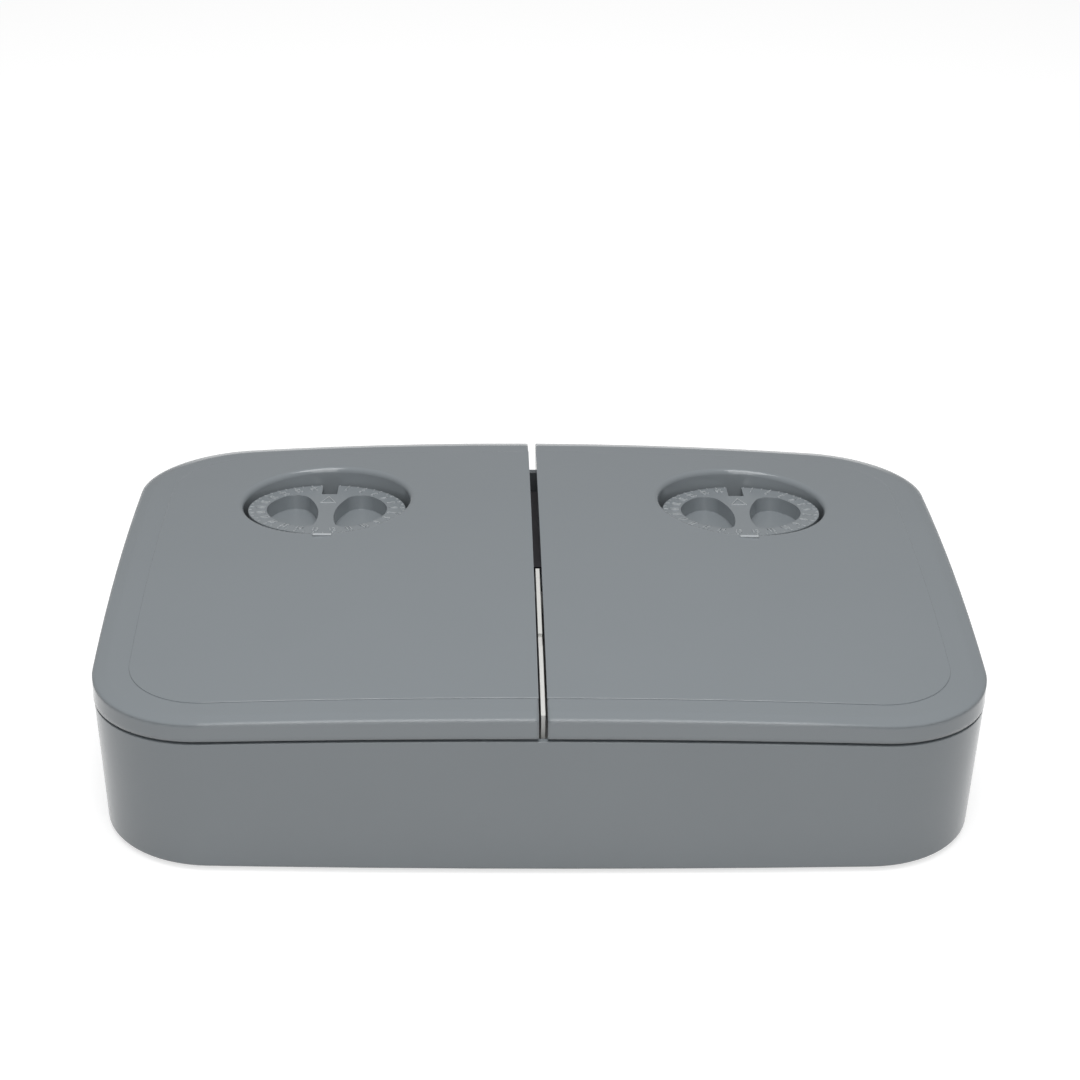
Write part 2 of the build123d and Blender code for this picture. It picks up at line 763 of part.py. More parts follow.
# Drops of the parts of the gear train below the dial's face
cover_top = deck_drop + deck_thickness + case_gap
cover_bottom = cover_top + cover_thickness
dial_wheel_top = cover_bottom + 0.5
dial_wheel_bottom = dial_wheel_top + dial_wheel_thickness
bridge_top = dial_wheel_bottom + bridge_gap
bridge_bottom = bridge_top + bridge_thickness
third_wheel_top = bridge_bottom + 0.7
third_wheel_bottom = third_wheel_top + wheel_thickness
second_wheel_top = third_wheel_bottom + wheel_gap
second_wheel_bottom = second_wheel_top + wheel_thickness
magnet_top = second_wheel_bottom + 0.8
magnet_bottom = magnet_top + magnet_thickness
case_inner_bottom = magnet_bottom + 2.0
case_bottom = case_inner_bottom + case_floor
arbor_top = cover_top + 0.4
arbor_bottom = case_bottom - 0.4

# Places of the arbors in a dial's plane, from the dial's axis
first_reach = (dial_wheel_teeth + pinion_teeth) * first_module / 2
second_reach = (third_wheel_teeth + pinion_teeth) * second_module / 2
third_reach = (second_wheel_teeth + pinion_teeth) * third_module / 2


def step_from(start, reach, angle):
    return (start[0] + reach * cos(radians(angle)), start[1] + reach * sin(radians(angle)))


third_place = step_from((0, 0), first_reach, third_angle)
second_place = step_from(third_place, second_reach, second_angle)
rotor_place = step_from(second_place, third_reach, rotor_angle)


# Turn of a pinion that puts its teeth between those of the wheel that it meets.
def meshed_turn(wheel_teeth, wheel_turn, angle):
    return angle + 180 - wheel_teeth / pinion_teeth * (wheel_turn - angle) - 180 / pinion_teeth


third_turn = meshed_turn(dial_wheel_teeth, 0.0, third_angle)
second_turn = meshed_turn(third_wheel_teeth, third_turn, second_angle)
rotor_turn = meshed_turn(second_wheel_teeth, second_turn, rotor_angle)

with BuildPart() as dial_left:
    with BuildSketch(dial_plane(dial_rim_thickness)):
        Circle(dial_radius)
        with Locations((0, dial_radius - notch_depth)):
            Rectangle(notch_width, 2 * notch_depth, align=(Align.CENTER, Align.MIN), mode=Mode.SUBTRACT)
    extrude(amount=dial_rim_thickness)
    with BuildSketch(dial_plane(dial_drum_depth)):
        Circle(dial_drum_radius)
        with Locations((0, dial_radius - notch_depth)):
            Rectangle(notch_width, 2 * notch_depth, align=(Align.CENTER, Align.MIN), mode=Mode.SUBTRACT)
    extrude(amount=dial_drum_depth - dial_rim_thickness)
    with BuildSketch(dial_plane(0)):
        add(finger_pit.sketch)
        mirror(finger_pit.sketch, about=Plane.YZ)
    extrude(amount=-pit_depth, mode=Mode.SUBTRACT)
    # Hollow underside, round the pits and the hub
    with BuildSketch(dial_plane(dial_drum_depth)):
        Circle(dial_drum_radius - dial_wall)
        with BuildSketch(mode=Mode.PRIVATE) as pit_wall:
            add(finger_pit.sketch)
            offset(amount=dial_wall)
        add(pit_wall.sketch, mode=Mode.SUBTRACT)
        mirror(pit_wall.sketch, about=Plane.YZ, mode=Mode.SUBTRACT)
        Circle(spindle_radius + dial_wall, mode=Mode.SUBTRACT)
        with Locations((0, dial_radius - notch_depth - dial_wall)):
            Rectangle(
                notch_width + 2 * dial_wall,
                2 * notch_depth,
                align=(Align.CENTER, Align.MIN),
                mode=Mode.SUBTRACT,
            )
    extrude(amount=dial_drum_depth - dial_rim_thickness, mode=Mode.SUBTRACT)
    with BuildSketch(dial_plane(dial_drum_depth)):
        Circle(spindle_radius)
    extrude(amount=dial_drum_depth - dial_wheel_bottom - 1.0)
    with BuildSketch(dial_plane(dial_wheel_bottom + 1.0)):
        Circle(pivot_radius)
    extrude(amount=dial_wheel_bottom + 1.0 - arbor_bottom)
dial_left.part.label = "dial_left"

# Gear train of the left dial
with BuildPart() as dial_wheel_left:
    with BuildSketch(dial_plane(dial_wheel_bottom)):
        with BuildLine():
            Polyline(*wheel_outline(dial_wheel_teeth, first_module, False), close=True)
        make_face()
        Circle(spindle_radius + hub_fit, mode=Mode.SUBTRACT)
    extrude(amount=dial_wheel_thickness)
dial_wheel_left.part.label = "dial_wheel_left"

with BuildPart() as third_wheel_left:
    with BuildSketch(dial_plane(third_wheel_bottom)):
        with Locations(third_place):
            with BuildSketch(mode=Mode.PRIVATE) as third_teeth:
                with BuildLine():
                    Polyline(*wheel_outline(third_wheel_teeth, second_module, False, third_turn), close=True)
                make_face()
            add(third_teeth.sketch)
    extrude(amount=wheel_thickness)
    with BuildSketch(dial_plane(third_wheel_top)):
        with Locations(third_place):
            with BuildSketch(mode=Mode.PRIVATE) as third_pinion:
                with BuildLine():
                    Polyline(*wheel_outline(pinion_teeth, first_module, True, third_turn), close=True)
                make_face()
            add(third_pinion.sketch)
    extrude(amount=third_wheel_top - dial_wheel_top + pinion_extra / 2)
    with BuildSketch(dial_plane(arbor_bottom)):
        with Locations(third_place):
            Circle(arbor_radius)
    extrude(amount=arbor_bottom - arbor_top)
third_wheel_left.part.label = "third_wheel_left"

with BuildPart() as second_wheel_left:
    with BuildSketch(dial_plane(second_wheel_bottom)):
        with Locations(second_place):
            with BuildSketch(mode=Mode.PRIVATE) as second_teeth:
                with BuildLine():
                    Polyline(*wheel_outline(second_wheel_teeth, third_module, False, second_turn), close=True)
                make_face()
            add(second_teeth.sketch)
    extrude(amount=wheel_thickness)
    with BuildSketch(dial_plane(second_wheel_top)):
        with Locations(second_place):
            with BuildSketch(mode=Mode.PRIVATE) as second_pinion:
                with BuildLine():
                    Polyline(*wheel_outline(pinion_teeth, second_module, True, second_turn), close=True)
                make_face()
            add(second_pinion.sketch)
    extrude(amount=second_wheel_top - third_wheel_top + pinion_extra)
    with BuildSketch(dial_plane(arbor_bottom)):
        with Locations(second_place):
            Circle(arbor_radius)
    extrude(amount=arbor_bottom - bridge_top)
second_wheel_left.part.label = "second_wheel_left"

with BuildPart() as rotor_left:
    with BuildSketch(dial_plane(magnet_bottom)):
        with Locations(rotor_place):
            Circle(magnet_radius)
    extrude(amount=magnet_thickness)
    with BuildSketch(dial_plane(magnet_top)):
        with Locations(rotor_place):
            with BuildSketch(mode=Mode.PRIVATE) as rotor_pinion:
                with BuildLine():
                    Polyline(*wheel_outline(pinion_teeth, third_module, True, rotor_turn), close=True)
                make_face()
            add(rotor_pinion.sketch)
    extrude(amount=magnet_top - second_wheel_top + pinion_extra)
    with BuildSketch(dial_plane(arbor_bottom)):
        with Locations(rotor_place):
            Circle(arbor_radius)
    extrude(amount=arbor_bottom - bridge_top)
rotor_left.part.label = "rotor_left"

# Motor: a magnet rotor in a flat iron plate whose two feet are joined by the core of the coil
stator_top = (magnet_top + magnet_bottom - stator_thickness) / 2
coil_setback = stator_half_width + stator_gap + coil_radius
coil_drop = stator_top + stator_thickness / 2
foot_reach = coil_length / 2 + coil_flange + 0.5
with BuildPart() as stator_left:
    with BuildSketch(dial_plane(stator_top + stator_thickness)):
        with Locations(rotor_place):
            Rectangle(2 * stator_half_length, 2 * stator_half_width)
        for side in (-1, 1):
            with Locations((rotor_place[0] + side * foot_reach, rotor_place[1])):
                Rectangle(
                    2 * stator_half_length - 2 * foot_reach,
                    coil_setback + coil_core_radius,
                    align=(Align.CENTER, Align.MAX),
                )
        with Locations(rotor_place):
            Circle(magnet_radius + 0.5, mode=Mode.SUBTRACT)
    extrude(amount=stator_thickness)
stator_left.part.label = "stator_left"


# A plane square to the coil's axis, which runs along X behind the front wall of the case.
def coil_plane(offset):
    base = dial_plane(coil_drop)
    start = base.from_local_coords(Vector(rotor_place[0] + offset, rotor_place[1] - coil_setback, 0))
    return Plane(origin=start, x_dir=base.y_dir, z_dir=(1, 0, 0))


coil_half = 2 * foot_reach - stator_half_length
with BuildPart() as coil_left:
    with BuildSketch(coil_plane(-coil_half)):
        Circle(coil_radius)
    extrude(amount=coil_flange)
    with BuildSketch(coil_plane(-coil_half + coil_flange)):
        Circle(coil_radius - 0.6)
    extrude(amount=2 * coil_half - 2 * coil_flange)
    with BuildSketch(coil_plane(coil_half - coil_flange)):
        Circle(coil_radius)
    extrude(amount=coil_flange)
coil_left.part.label = "coil_left"

# Timer case, its cover and the bridge that holds the upper ends of two arbors
case_middle = ((case_inner_right - case_inner_left) / 2, (case_inner_rear - case_inner_front) / 2)
case_width = case_inner_left + case_inner_right
case_length = case_inner_front + case_inner_rear
bridge_posts = [(-12.0, -24.5), (31.0, -22.0)]
pin_places = [
    (rotor_place[0] + coil_half - coil_flange / 2, rotor_place[1] - coil_setback),
    (rotor_place[0] + coil_half - coil_flange / 2 - 4.0, rotor_place[1] - coil_setback),
]
board_post = (rotor_place[0] + coil_half + 9.0, rotor_place[1] - coil_setback + 1.0)
with BuildPart() as train_bridge_left:
    with BuildSketch(dial_plane(bridge_bottom)):
        with BuildSketch(mode=Mode.PRIVATE) as bridge_plan:
            with Locations(bridge_posts + [second_place, rotor_place]):
                Circle(bridge_margin)
            make_hull()
        add(bridge_plan.sketch)
        with Locations(second_place, rotor_place):
            Circle(arbor_radius + arbor_fit, mode=Mode.SUBTRACT)
    extrude(amount=bridge_thickness)
train_bridge_left.part.label = "train_bridge_left"

with BuildPart() as timer_case_left:
    with BuildSketch(dial_plane(case_bottom)):
        with Locations(case_middle):
            RectangleRounded(case_width + 2 * case_wall, case_length + 2 * case_wall, case_corner + case_wall)
    extrude(amount=case_bottom - cover_bottom)
    with BuildSketch(dial_plane(case_inner_bottom)):
        with Locations(case_middle):
            RectangleRounded(case_width, case_length, case_corner)
    extrude(amount=case_inner_bottom - cover_bottom, mode=Mode.SUBTRACT)
    # Posts for the bridge, the stator and the circuit board
    with BuildSketch(dial_plane(case_inner_bottom)):
        with Locations(bridge_posts):
            Circle(bridge_post_radius)
    extrude(amount=case_inner_bottom - bridge_bottom)
    with BuildSketch(dial_plane(case_inner_bottom)):
        for side in (-1, 1):
            with Locations((rotor_place[0] + side * (magnet_radius + 4.0), rotor_place[1])):
                Circle(1.6)
    extrude(amount=case_inner_bottom - stator_top - stator_thickness)
    with BuildSketch(dial_plane(case_bottom + board_gap)):
        with Locations(board_post):
            Circle(screw_boss_radius)
    extrude(amount=board_gap)
    # Bearings and the holes for the coil's pins and the board's screw
    with BuildSketch(dial_plane(case_bottom)):
        with Locations(third_place, second_place, rotor_place):
            Circle(arbor_radius + arbor_fit)
        Circle(pivot_radius + arbor_fit)
        with Locations(pin_places):
            Circle(coil_pin_radius + 0.3)
    extrude(amount=case_floor, mode=Mode.SUBTRACT)
    with BuildSketch(dial_plane(case_bottom + board_gap)):
        with Locations(board_post):
            Circle(screw_radius + screw_grip)
    extrude(amount=board_gap + case_floor, mode=Mode.SUBTRACT)
timer_case_left.part.label = "timer_case_left"

with BuildPart() as timer_cover_left:
    with BuildSketch(dial_plane(cover_bottom)):
        with Locations(case_middle):
            RectangleRounded(case_width + 2 * case_wall, case_length + 2 * case_wall, case_corner + case_wall)
        with Locations(ear_places):
            Circle(screw_boss_radius + 1.4)
        Circle(spindle_radius + spindle_fit, mode=Mode.SUBTRACT)
        with Locations(third_place):
            Circle(arbor_radius + arbor_fit, mode=Mode.SUBTRACT)
        with Locations(ear_places):
            Circle(screw_radius + screw_grip, mode=Mode.SUBTRACT)
    extrude(amount=cover_thickness)
timer_cover_left.part.label = "timer_cover_left"

left_pieces = [
    (dial_left, "dial"),
    (dial_wheel_left, "dial_wheel"),
    (third_wheel_left, "third_wheel"),
    (second_wheel_left, "second_wheel"),
    (rotor_left, "rotor"),
    (stator_left, "stator"),
    (coil_left, "coil"),
    (train_bridge_left, "train_bridge"),
    (timer_case_left, "timer_case"),
    (timer_cover_left, "timer_cover"),
]
for piece, name in left_pieces:
    piece.part.label = name + "_left"
    export_step(piece.part, "parts/" + name + "_left.step")
    with BuildPart() as right_piece:
        mirror(piece.part, about=Plane.YZ)
    right_piece.part.label = name + "_right"
    export_step(right_piece.part, "parts/" + name + "_right.step")

# Screws and pins that both timers have alike are kept as one group each
board_top = case_bottom + board_gap
board_bottom = board_top + board_thickness
with BuildPart() as timer_screws:
    with BuildSketch(dial_plane(cover_bottom + screw_head_height)):
        with Locations(ear_places):
            Circle(screw_head_radius)
    extrude(amount=screw_head_height)
    with BuildSketch(dial_plane(cover_bottom)):
        with Locations(ear_places):
            Circle(screw_radius)
    extrude(amount=cover_thickness + case_gap + timer_screw_bite)
    mirror(about=Plane.YZ)
timer_screws.part.label = "timer_screws"
export_step(timer_screws.part, "parts/timer_screws.step")
with BuildPart() as coil_pins:
    with BuildSketch(dial_plane(board_bottom + 0.3)):
        with Locations(pin_places):
            Circle(coil_pin_radius)
    extrude(amount=board_bottom + 0.3 - coil_drop - coil_radius - 0.02)
    mirror(about=Plane.YZ)
coil_pins.part.label = "coil_pins"
export_step(coil_pins.part, "parts/coil_pins.step")

# Circuit board: it hangs under both timer cases and leans with them
board_middle = (dial_spread, rotor_place[1] - coil_setback)
board_post_right = (2 * dial_spread - board_post[0], board_post[1])
pin_places_right = [(2 * dial_spread - x, y) for x, y in pin_places]
with BuildPart() as circuit_board:
    with BuildSketch(dial_plane(board_bottom)):
        with Locations(board_middle):
            Rectangle(board_length, board_width)
        with Locations(board_post, board_post_right):
            Circle(screw_radius + screw_grip, mode=Mode.SUBTRACT)
        with Locations(pin_places + pin_places_right):
            Circle(coil_pin_radius + 0.1, mode=Mode.SUBTRACT)
    extrude(amount=board_thickness)
circuit_board.part.label = "circuit_board"
export_step(circuit_board.part, "parts/circuit_board.step")

with BuildPart() as clock_chip:
    with BuildSketch(dial_plane(board_bottom + chip_height)):
        with Locations((board_middle[0] - 16.0, board_middle[1])):
            Rectangle(chip_length, chip_width)
    extrude(amount=chip_height)
clock_chip.part.label = "clock_chip"
export_step(clock_chip.part, "parts/clock_chip.step")

with BuildPart() as quartz_crystal:
    board_face = dial_plane(board_bottom + crystal_radius)
    start = board_face.from_local_coords(Vector(board_middle[0] + 12.0, board_middle[1], 0))
    with BuildSketch(Plane(origin=start, x_dir=board_face.y_dir, z_dir=(1, 0, 0))):
        Circle(crystal_radius)
    extrude(amount=crystal_length)
quartz_crystal.part.label = "quartz_crystal"
export_step(quartz_crystal.part, "parts/quartz_crystal.step")

with BuildPart() as board_screws:
    with BuildSketch(dial_plane(board_bottom + screw_head_height)):
        with Locations(board_post, board_post_right):
            Circle(screw_head_radius)
    extrude(amount=screw_head_height)
    with BuildSketch(dial_plane(board_bottom)):
        with Locations(board_post, board_post_right):
            Circle(screw_radius)
    extrude(amount=board_thickness + board_gap + case_floor - 0.3)
board_screws.part.label = "board_screws"
export_step(board_screws.part, "parts/board_screws.step")

# Battery, its two contacts and the door under it
cell_start = -bay_length / 2 + contact_thickness + spring_contact_room
with BuildPart() as battery_cell:
    with BuildSketch(Plane.YZ.offset(cell_start)):
        with Locations((cell_setback, cell_axis)):
            Circle(cell_radius)
    extrude(amount=cell_length)
    with BuildSketch(Plane.YZ.offset(cell_start + cell_length)):
        with Locations((cell_setback, cell_axis)):
            Circle(button_radius)
    extrude(amount=button_length)
battery_cell.part.label = "battery_cell"
export_step(battery_cell.part, "parts/battery_cell.step")

# The contacts' tails end under the board, which leans over the bay
tail_top = tilted_height(cell_setback + tail_width / 2, board_bottom) - 0.1
with BuildPart() as plain_contact:
    with BuildSketch(Plane.YZ.offset(bay_length / 2 - contact_thickness)):
        with Locations((cell_setback, cell_axis)):
            Rectangle(contact_width, contact_width)
            Rectangle(tail_width, tail_top - cell_axis, align=(Align.CENTER, Align.MIN))
    extrude(amount=contact_thickness)
plain_contact.part.label = "plain_contact"
export_step(plain_contact.part, "parts/plain_contact.step")

with BuildPart() as spring_contact:
    with BuildSketch(Plane.YZ.offset(-bay_length / 2)):
        with Locations((cell_setback, cell_axis)):
            Rectangle(contact_width, contact_width)
            Rectangle(tail_width, tail_top - cell_axis, align=(Align.CENTER, Align.MIN))
    extrude(amount=contact_thickness)
    # The bowed tongue that presses on the cell
    with BuildSketch(Plane.XZ.offset(-cell_setback - contact_width / 3)):
        tongue_foot = -bay_length / 2 + contact_thickness
        tongue_nose = tongue_foot + spring_contact_room - 0.1
        tongue_half = contact_width / 2
        tongue_inner = tongue_half - 2 * contact_thickness
        with BuildLine():
            ThreePointArc(
                (tongue_foot, cell_axis - tongue_half),
                (tongue_nose, cell_axis),
                (tongue_foot, cell_axis + tongue_half),
            )
            Line((tongue_foot, cell_axis + tongue_half), (tongue_foot, cell_axis + tongue_inner))
            ThreePointArc(
                (tongue_foot, cell_axis + tongue_inner),
                (tongue_nose - contact_thickness, cell_axis),
                (tongue_foot, cell_axis - tongue_inner),
            )
            Line((tongue_foot, cell_axis - tongue_inner), (tongue_foot, cell_axis - tongue_half))
        make_face()
    extrude(amount=contact_width * 2 / 3)
spring_contact.part.label = "spring_contact"
export_step(spring_contact.part, "parts/spring_contact.step")

door_rib_height = 1.5
with BuildPart() as battery_door:
    with BuildSketch(Plane.XY.offset(foot_drop)):
        with Locations((0, cell_setback)):
            Rectangle(door_length, door_width)
    extrude(amount=door_thickness)
    # Ribs that centre the door in the bay
    with BuildSketch(Plane.XY.offset(foot_drop + door_thickness)):
        rib_offset = bay_half_width - 1.3
        with Locations((0, cell_setback - rib_offset), (0, cell_setback + rib_offset)):
            Rectangle(bay_length - 10.0, 1.2)
    extrude(amount=door_rib_height)
    # Finger recess in the underside
    with BuildSketch(Plane.XY.offset(foot_drop)):
        with Locations((door_length / 2 - 6.0, cell_setback)):
            SlotOverall(10.0, 4.0, rotation=90)
    extrude(amount=0.8, mode=Mode.SUBTRACT)
battery_door.part.label = "battery_door"
export_step(battery_door.part, "parts/battery_door.step")

# Deck screws: their heads lie in flat seats in the deck and their shanks stand in the bosses
with BuildPart() as deck_screws:
    for x, y in screw_places:
        with BuildSketch(Plane.XY.offset(screw_seat(y))):
            with Locations((x, y)):
                Circle(screw_head_radius)
        extrude(amount=screw_head_height)
        with BuildSketch(Plane.XY.offset(screw_seat(y))):
            with Locations((x, y)):
                Circle(screw_radius)
        extrude(amount=-screw_length)
deck_screws.part.label = "deck_screws"
export_step(deck_screws.part, "parts/deck_screws.step")

# Hinge pins
with BuildPart() as hinge_pins:
    for low, high_side in bracket_faces:
        with BuildSketch(Plane.YZ.offset(low - bracket_width)):
            with Locations((hinge_y, hinge_height)):
                Circle(hinge_pin_radius)
        extrude(amount=high_side - low + 2 * bracket_width)
hinge_pins.part.label = "hinge_pins"
export_step(hinge_pins.part, "parts/hinge_pins.step")

# Lid springs: a close coil round the inner pin, with one leg under the lid and one down the rear wall
coil_side = left_faces[1][1] - ear_gap
coil_start = coil_side - spring_room + 2 * ear_gap
with BuildPart() as lid_spring_left:
    with BuildSketch(Plane.YZ.offset(coil_start)):
        with Locations((hinge_y, hinge_height)):
            Circle(spring_radius + spring_wire / 2)
            Circle(spring_radius - spring_wire / 2, mode=Mode.SUBTRACT)
    extrude(amount=coil_side - coil_start)
    leg_start = Vector(coil_side - spring_wire, hinge_y, hinge_height + spring_radius)
    leg_end = leg_start + Vector(0, -spring_leg, leg_rise)
    with BuildSketch(Plane(origin=leg_start, z_dir=leg_end - leg_start)):
        Rectangle(spring_wire, spring_wire)
    extrude(amount=(leg_end - leg_start).length)
    with BuildSketch(Plane.XY.offset(hinge_height)):
        with Locations((coil_start + spring_wire, hinge_y - spring_radius)):
            Rectangle(spring_wire, spring_wire)
    extrude(amount=-spring_leg)
lid_spring_left.part.label = "lid_spring_left"
export_step(lid_spring_left.part, "parts/lid_spring_left.step")
with BuildPart() as lid_spring_right:
    mirror(lid_spring_left.part, about=Plane.YZ)
lid_spring_right.part.label = "lid_spring_right"
export_step(lid_spring_right.part, "parts/lid_spring_right.step")

# Rubber feet
with BuildPart() as rubber_feet:
    with BuildSketch(Plane.XY):
        with foot_places:
            Circle(foot_radius)
    extrude(amount=foot_drop + foot_recess)
    chamfer(rubber_feet.faces().group_by(Axis.Z)[0].edges(), length=0.6)
rubber_feet.part.label = "rubber_feet"
export_step(rubber_feet.part, "parts/rubber_feet.step")
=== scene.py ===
# Two-meal pet feeder: its looks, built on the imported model.
# Metres, in the model's own frame. The sections follow the feeder as it is put together.
from math import cos, pi, radians, sin

import bpy
from mathutils import Matrix, Vector


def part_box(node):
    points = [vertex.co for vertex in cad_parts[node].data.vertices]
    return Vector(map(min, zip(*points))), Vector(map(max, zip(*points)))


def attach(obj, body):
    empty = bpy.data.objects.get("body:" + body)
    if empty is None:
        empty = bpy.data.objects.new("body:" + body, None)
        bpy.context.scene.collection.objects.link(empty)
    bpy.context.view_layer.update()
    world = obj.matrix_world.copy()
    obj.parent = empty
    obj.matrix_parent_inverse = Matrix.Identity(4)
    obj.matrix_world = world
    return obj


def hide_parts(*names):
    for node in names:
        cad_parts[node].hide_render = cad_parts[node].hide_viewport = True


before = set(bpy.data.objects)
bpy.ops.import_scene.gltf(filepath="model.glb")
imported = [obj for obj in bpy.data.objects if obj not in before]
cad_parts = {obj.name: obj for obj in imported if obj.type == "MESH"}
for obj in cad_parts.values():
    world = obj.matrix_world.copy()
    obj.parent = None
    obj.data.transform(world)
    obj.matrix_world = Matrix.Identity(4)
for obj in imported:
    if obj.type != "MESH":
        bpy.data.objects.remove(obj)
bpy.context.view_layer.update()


# The camera: a long lens that stands high in front of the feeder, a little left of its middle.
# Its place, aim and focal length were fitted to the photograph's outline, for a square picture.
camera_height = radians(26.92)
camera_turn = radians(-1.546)
camera_roll = radians(0.934)
camera_target = Vector((0.0011, 0.0, 0.0656))
camera_reach = 1.0213
camera_data = bpy.data.cameras.new("camera")
camera = bpy.data.objects.new("camera", camera_data)
bpy.context.scene.collection.objects.link(camera)
backward = Vector((
    sin(camera_turn) * cos(camera_height),
    -cos(camera_turn) * cos(camera_height),
    sin(camera_height),
))
level = Vector((cos(camera_turn), sin(camera_turn), 0.0))
upward = backward.cross(level)
side = level * cos(camera_roll) + upward * sin(camera_roll)
upright = upward * cos(camera_roll) - level * sin(camera_roll)
camera.matrix_world = Matrix.Translation(camera_target + backward * camera_reach) @ Matrix(
    (side, upright, backward)
).transposed().to_4x4()
camera_data.sensor_width = 36.0
camera_data.lens = 89.38
camera_data.shift_y = 0.015
camera_data.clip_end = 50.0
bpy.context.scene.camera = camera
bpy.context.scene.view_settings.view_transform = "Standard"


# Turns a colour written in sRGB hex into the linear light that shaders take.
def colour(code):
    parts = [int(code[i:i + 2], 16) / 255 for i in (1, 3, 5)]
    return [p / 12.92 if p <= 0.04045 else ((p + 0.055) / 1.055) ** 2.4 for p in parts] + [1.0]


# Adds one node: its settings by name, and its inputs as values or as sockets to link.
def add_node(tree, kind, inputs=None, **settings):
    node = tree.nodes.new(kind)
    for name, value in settings.items():
        setattr(node, name, value)
    for name, value in (inputs or {}).items():
        if isinstance(value, bpy.types.NodeSocket):
            tree.links.new(value, node.inputs[name])
        else:
            node.inputs[name].default_value = value
    return node


# An empty material with its output node.
def new_material(name):
    material = bpy.data.materials.new(name)
    material.use_nodes = True
    material.node_tree.nodes.clear()
    return material, material.node_tree


# Floor and light: a white table top and a light tent, as for a catalogue picture.
# The table is seen as plain white and keeps a soft shadow; the lamps are two large soft boxes.
floor_material, tree = new_material("white table paper")
light_path = add_node(tree, "ShaderNodeLightPath")
camera_or_gloss = add_node(
    tree, "ShaderNodeMath",
    {0: light_path.outputs["Is Camera Ray"], 1: light_path.outputs["Is Glossy Ray"]},
    operation="MAXIMUM",
)
seen = add_node(
    tree, "ShaderNodeMath",
    {0: camera_or_gloss.outputs[0], 1: light_path.outputs["Is Transmission Ray"]},
    operation="MAXIMUM",
)
paper = add_node(tree, "ShaderNodeBsdfDiffuse", {"Color": colour("#C4C4C4")})
white_lift = add_node(tree, "ShaderNodeEmission", {"Color": colour("#FFFFFF"), "Strength": 0.65})
lifted = add_node(tree, "ShaderNodeAddShader", {0: paper.outputs[0], 1: white_lift.outputs[0]})
surface = add_node(
    tree, "ShaderNodeMixShader", {0: seen.outputs[0], 1: paper.outputs[0], 2: lifted.outputs[0]}
)
add_node(tree, "ShaderNodeOutputMaterial", {"Surface": surface.outputs[0]})
bpy.ops.object.select_all(action="DESELECT")
bpy.ops.mesh.primitive_plane_add(size=12.0, location=(0, 0, 0))
table = bpy.context.object
table.name = "table"
table.data.materials.append(floor_material)

tent = bpy.data.worlds.new("light tent")
tent.use_nodes = True
tree = tent.node_tree
tree.nodes.clear()
light_path = add_node(tree, "ShaderNodeLightPath")
soft = add_node(tree, "ShaderNodeBackground", {"Color": colour("#FFFFFF"), "Strength": 0.28})
white = add_node(tree, "ShaderNodeBackground", {"Color": colour("#FFFFFF"), "Strength": 1.0})
surface = add_node(
    tree, "ShaderNodeMixShader",
    {0: light_path.outputs["Is Camera Ray"], 1: soft.outputs[0], 2: white.outputs[0]},
)
add_node(tree, "ShaderNodeOutputWorld", {"Surface": surface.outputs[0]})
bpy.context.scene.world = tent


# Soft boxes: a large one over the feeder and one in front of it, both turned to its middle.
feeder_middle = Vector((0, 0, 0.05))


# Adds one soft box, with its size in metres and its power in watts.
def soft_box(name, place, size, power):
    data = bpy.data.lights.new(name, "AREA")
    data.shape = "RECTANGLE"
    data.size, data.size_y = size
    data.energy = power
    lamp = bpy.data.objects.new(name, data)
    bpy.context.scene.collection.objects.link(lamp)
    lamp.location = place
    lamp.rotation_euler = (Vector(place) - feeder_middle).to_track_quat("Z", "Y").to_euler()


soft_box("soft box overhead", (0.0, -0.1, 1.5), (0.9, 1.0), 13.0)
soft_box("soft box front", (0.0, -1.05, 1.05), (0.8, 1.2), 7.5)


# Puts a material on a CAD node, whose shape stays as it is.
def dress(node, material):
    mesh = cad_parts[node].data
    mesh.materials.clear()
    mesh.materials.append(material)


# How far the gloss of a surface strays, and how high its grain stands.
gloss_play = 0.03
grain_height = 0.0001


# A moulded or rolled surface: two near tones in soft clouds, an uneven gloss and a fine grain.
def surface_of(name, tones, gloss, grain_mm, depth, metallic=0.0, ior=1.5, cloud_mm=45.0, edge_mm=0.3):
    material, tree = new_material(name)
    where = add_node(tree, "ShaderNodeTexCoord")
    cloud = add_node(
        tree, "ShaderNodeTexNoise",
        {"Vector": where.outputs["Object"], "Scale": 1000.0 / cloud_mm, "Detail": 3.0},
    )
    tone = add_node(
        tree, "ShaderNodeMix",
        {"Factor": cloud.outputs["Fac"], "A": colour(tones[0]), "B": colour(tones[1])},
        data_type="RGBA",
    )
    sheen = add_node(
        tree, "ShaderNodeMapRange",
        {"Value": cloud.outputs["Fac"], "To Min": gloss - gloss_play, "To Max": gloss + gloss_play},
    )
    grain = add_node(
        tree, "ShaderNodeTexNoise",
        {"Vector": where.outputs["Object"], "Scale": 1000.0 / grain_mm, "Detail": 2.0},
    )
    edges = add_node(tree, "ShaderNodeBevel", {"Radius": edge_mm / 1000.0}, samples=6)
    bump = add_node(
        tree, "ShaderNodeBump",
        {
            "Height": grain.outputs["Fac"], "Strength": depth, "Distance": grain_height,
            "Normal": edges.outputs["Normal"],
        },
    )
    shader = add_node(
        tree, "ShaderNodeBsdfPrincipled",
        {
            "Base Color": tone.outputs["Result"], "Roughness": sheen.outputs["Result"],
            "Metallic": metallic, "IOR": ior, "Normal": bump.outputs["Normal"],
        },
    )
    add_node(tree, "ShaderNodeOutputMaterial", {"Surface": shader.outputs[0]})
    return material


